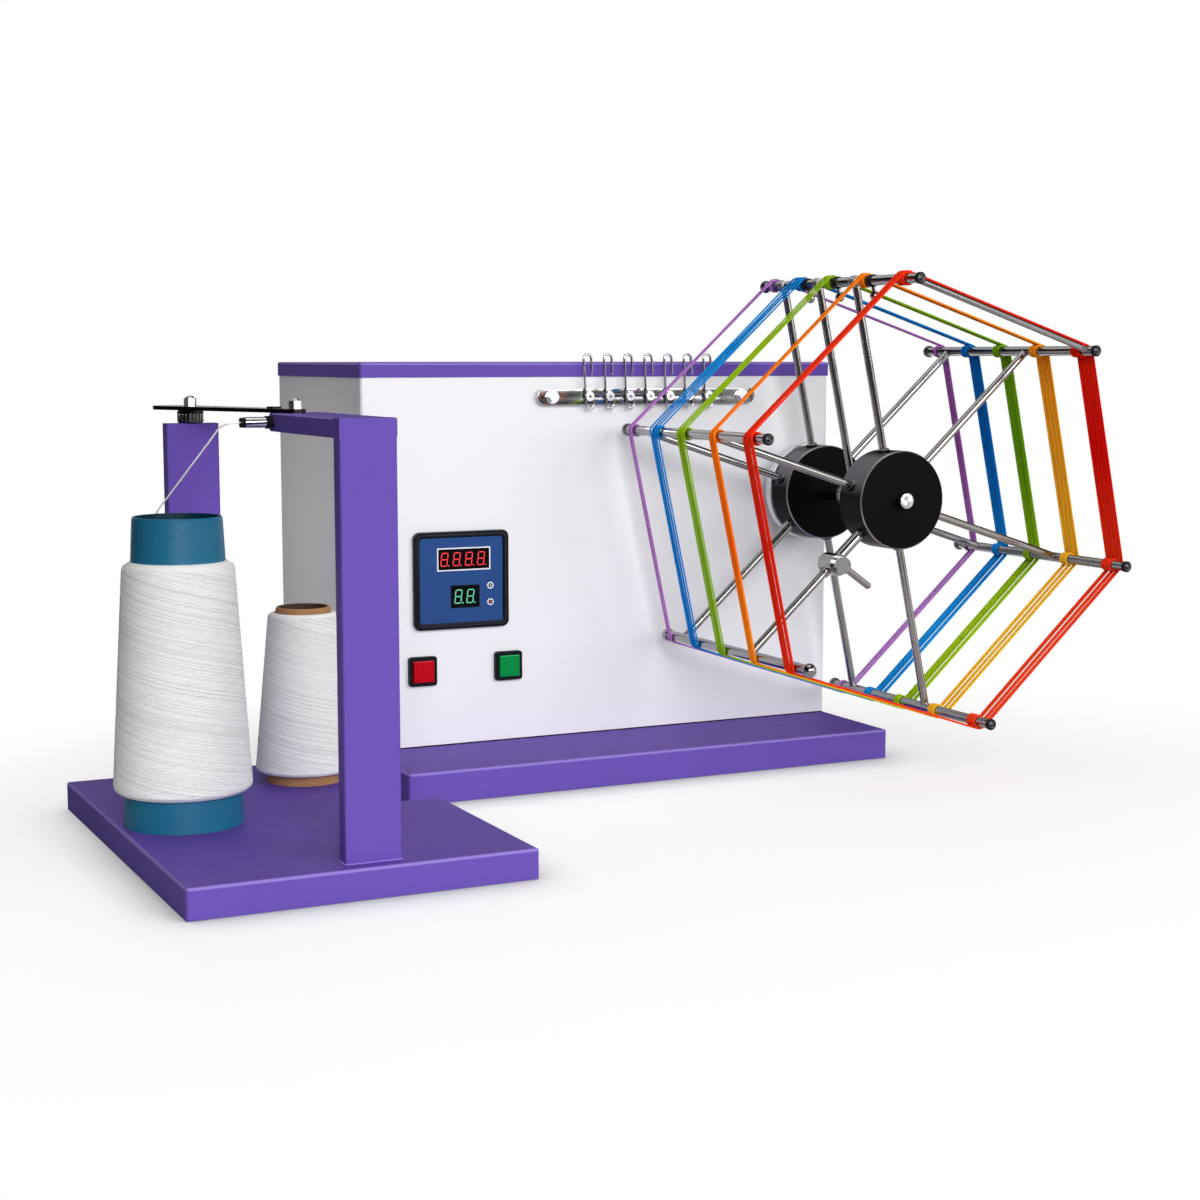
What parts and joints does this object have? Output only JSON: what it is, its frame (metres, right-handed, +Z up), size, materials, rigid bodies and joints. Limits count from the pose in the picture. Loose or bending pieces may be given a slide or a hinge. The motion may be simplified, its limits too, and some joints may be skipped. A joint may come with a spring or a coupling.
{
  "type": "yarn wrap reel",
  "caption": "Motor driven wrap reel: hexagonal reel on a cabinet with counter, push buttons and yarn guides, beside a free standing creel with yarn cones.",
  "frame": {"origin": "on the floor under the reel's axis, in the plane of the cabinet's front face", "axes": "+X to the right along the cabinet front, +Y to the back, +Z up"},
  "size_m": [1.0177, 0.705, 0.5104],
  "materials": {
    "purple_board": "satin paint on board",
    "purple_sheet": "satin powder coat",
    "white_sheet": "satin powder coat",
    "bright_steel": "bright drawn",
    "light_metal": "turned",
    "black_metal": "black anodised",
    "dark_metal": "dark satin",
    "grey_metal": "satin",
    "black_rubber": "matt",
    "black_plastic": "matt",
    "grey_plastic": "matt",
    "blue_face": "satin film",
    "dark_window": "gloss",
    "red_cap": "gloss",
    "green_cap": "gloss",
    "white_key": "gloss",
    "orange_key": "gloss",
    "teal_plastic": "satin",
    "brown_paper": "bare paper tube",
    "white_yarn": "spun yarn",
    "violet_yarn": "spun yarn",
    "blue_yarn": "spun yarn",
    "green_yarn": "spun yarn",
    "orange_yarn": "spun yarn",
    "red_yarn": "spun yarn"
  },
  "bodies": {
    "stand": {"base_board": "purple_board", "creel_board": "purple_board", "front_post": "purple_board", "rear_post": "purple_board", "cabinet_lid": "purple_sheet", "cabinet_shell": "white_sheet", "rear_panel": "white_sheet", "rear_screws": "bright_steel", "power_inlet": "black_plastic", "counter_bezel": "black_plastic", "counter_face": "blue_face", "display_windows": "dark_window", "counter_housing": "black_plastic", "button_bezels": "black_plastic", "switch_bodies": "grey_plastic", "guide_bar": "bright_steel", "guide_fasteners": "bright_steel", "pigtail_guides": "bright_steel", "post_spacer": "dark_metal", "guide_plate": "dark_metal", "cap_nuts": "bright_steel", "guide_tube": "bright_steel", "tube_rings": "black_rubber", "large_cone": "teal_plastic", "large_yarn": "white_yarn", "small_cone": "brown_paper", "small_yarn": "white_yarn", "cone_pegs": "bright_steel", "feed_yarn": "white_yarn", "drive_motor": "grey_metal", "motor_bracket": "bright_steel", "drive_belt": "black_rubber", "bearing_housing": "light_metal", "housing_nut": "bright_steel", "shaft_bearings": "bright_steel", "count_sensor": "grey_plastic"},
    "reel": {"reel_shaft": "bright_steel", "rear_hub": "black_metal", "front_hub": "black_metal", "spokes": "bright_steel", "crossbars": "bright_steel", "bar_caps": "black_rubber", "bar_collars": "black_rubber", "centre_stay": "bright_steel", "yarn_studs": "bright_steel", "reel_pulley": "light_metal", "arm_sleeves": "bright_steel", "hank_violet": "violet_yarn", "hank_blue": "blue_yarn", "hank_green": "green_yarn", "hank_orange": "orange_yarn", "hank_red": "red_yarn"},
    "folding_arm": {"arm_bar": "bright_steel", "arm_rods": "bright_steel"},
    "clamp": {"clamp_lever": "bright_steel"},
    "motor_rotor": {"motor_pulley": "light_metal"},
    "stop": {"stop_button": "red_cap"},
    "start": {"start_button": "green_cap"},
    "up_key": {"key_up": "white_key"},
    "down_key": {"key_down": "orange_key"}
  },
  "joints": [
    {"name": "reel_spin", "type": "hinge", "parent": "stand", "child": "reel", "pos_m": [0, 0, 0.2845], "axis": [0, 1, 0], "continuous": true},
    {"name": "motor_spin", "type": "hinge", "parent": "stand", "child": "motor_rotor", "pos_m": [-0.12, 0, 0.091], "axis": [0, 1, 0], "continuous": true},
    {"name": "arm_fold", "type": "slide", "parent": "reel", "child": "folding_arm", "axis": [0.7414, 0, 0.6711], "range_m": [0, 0.038]},
    {"name": "clamp_turn", "type": "hinge", "parent": "reel", "child": "clamp", "pos_m": [-0.06969, -0.209, 0.22142], "axis": [0, 1, 0], "range_deg": [0, 110]},
    {"name": "stop_press", "type": "slide", "parent": "stand", "child": "stop", "axis": [0, 1, 0], "range_m": [0, 0.003], "stiffness_N_per_m": 400},
    {"name": "start_press", "type": "slide", "parent": "stand", "child": "start", "axis": [0, 1, 0], "range_m": [0, 0.003], "stiffness_N_per_m": 400},
    {"name": "up_press", "type": "slide", "parent": "stand", "child": "up_key", "axis": [0, 1, 0], "range_m": [0, 0.001], "stiffness_N_per_m": 500},
    {"name": "down_press", "type": "slide", "parent": "stand", "child": "down_key", "axis": [0, 1, 0], "range_m": [0, 0.001], "stiffness_N_per_m": 500}
  ],
  "couplings": [
    {"joint": "motor_spin", "follows": "reel_spin", "ratio": 3}
  ]
}
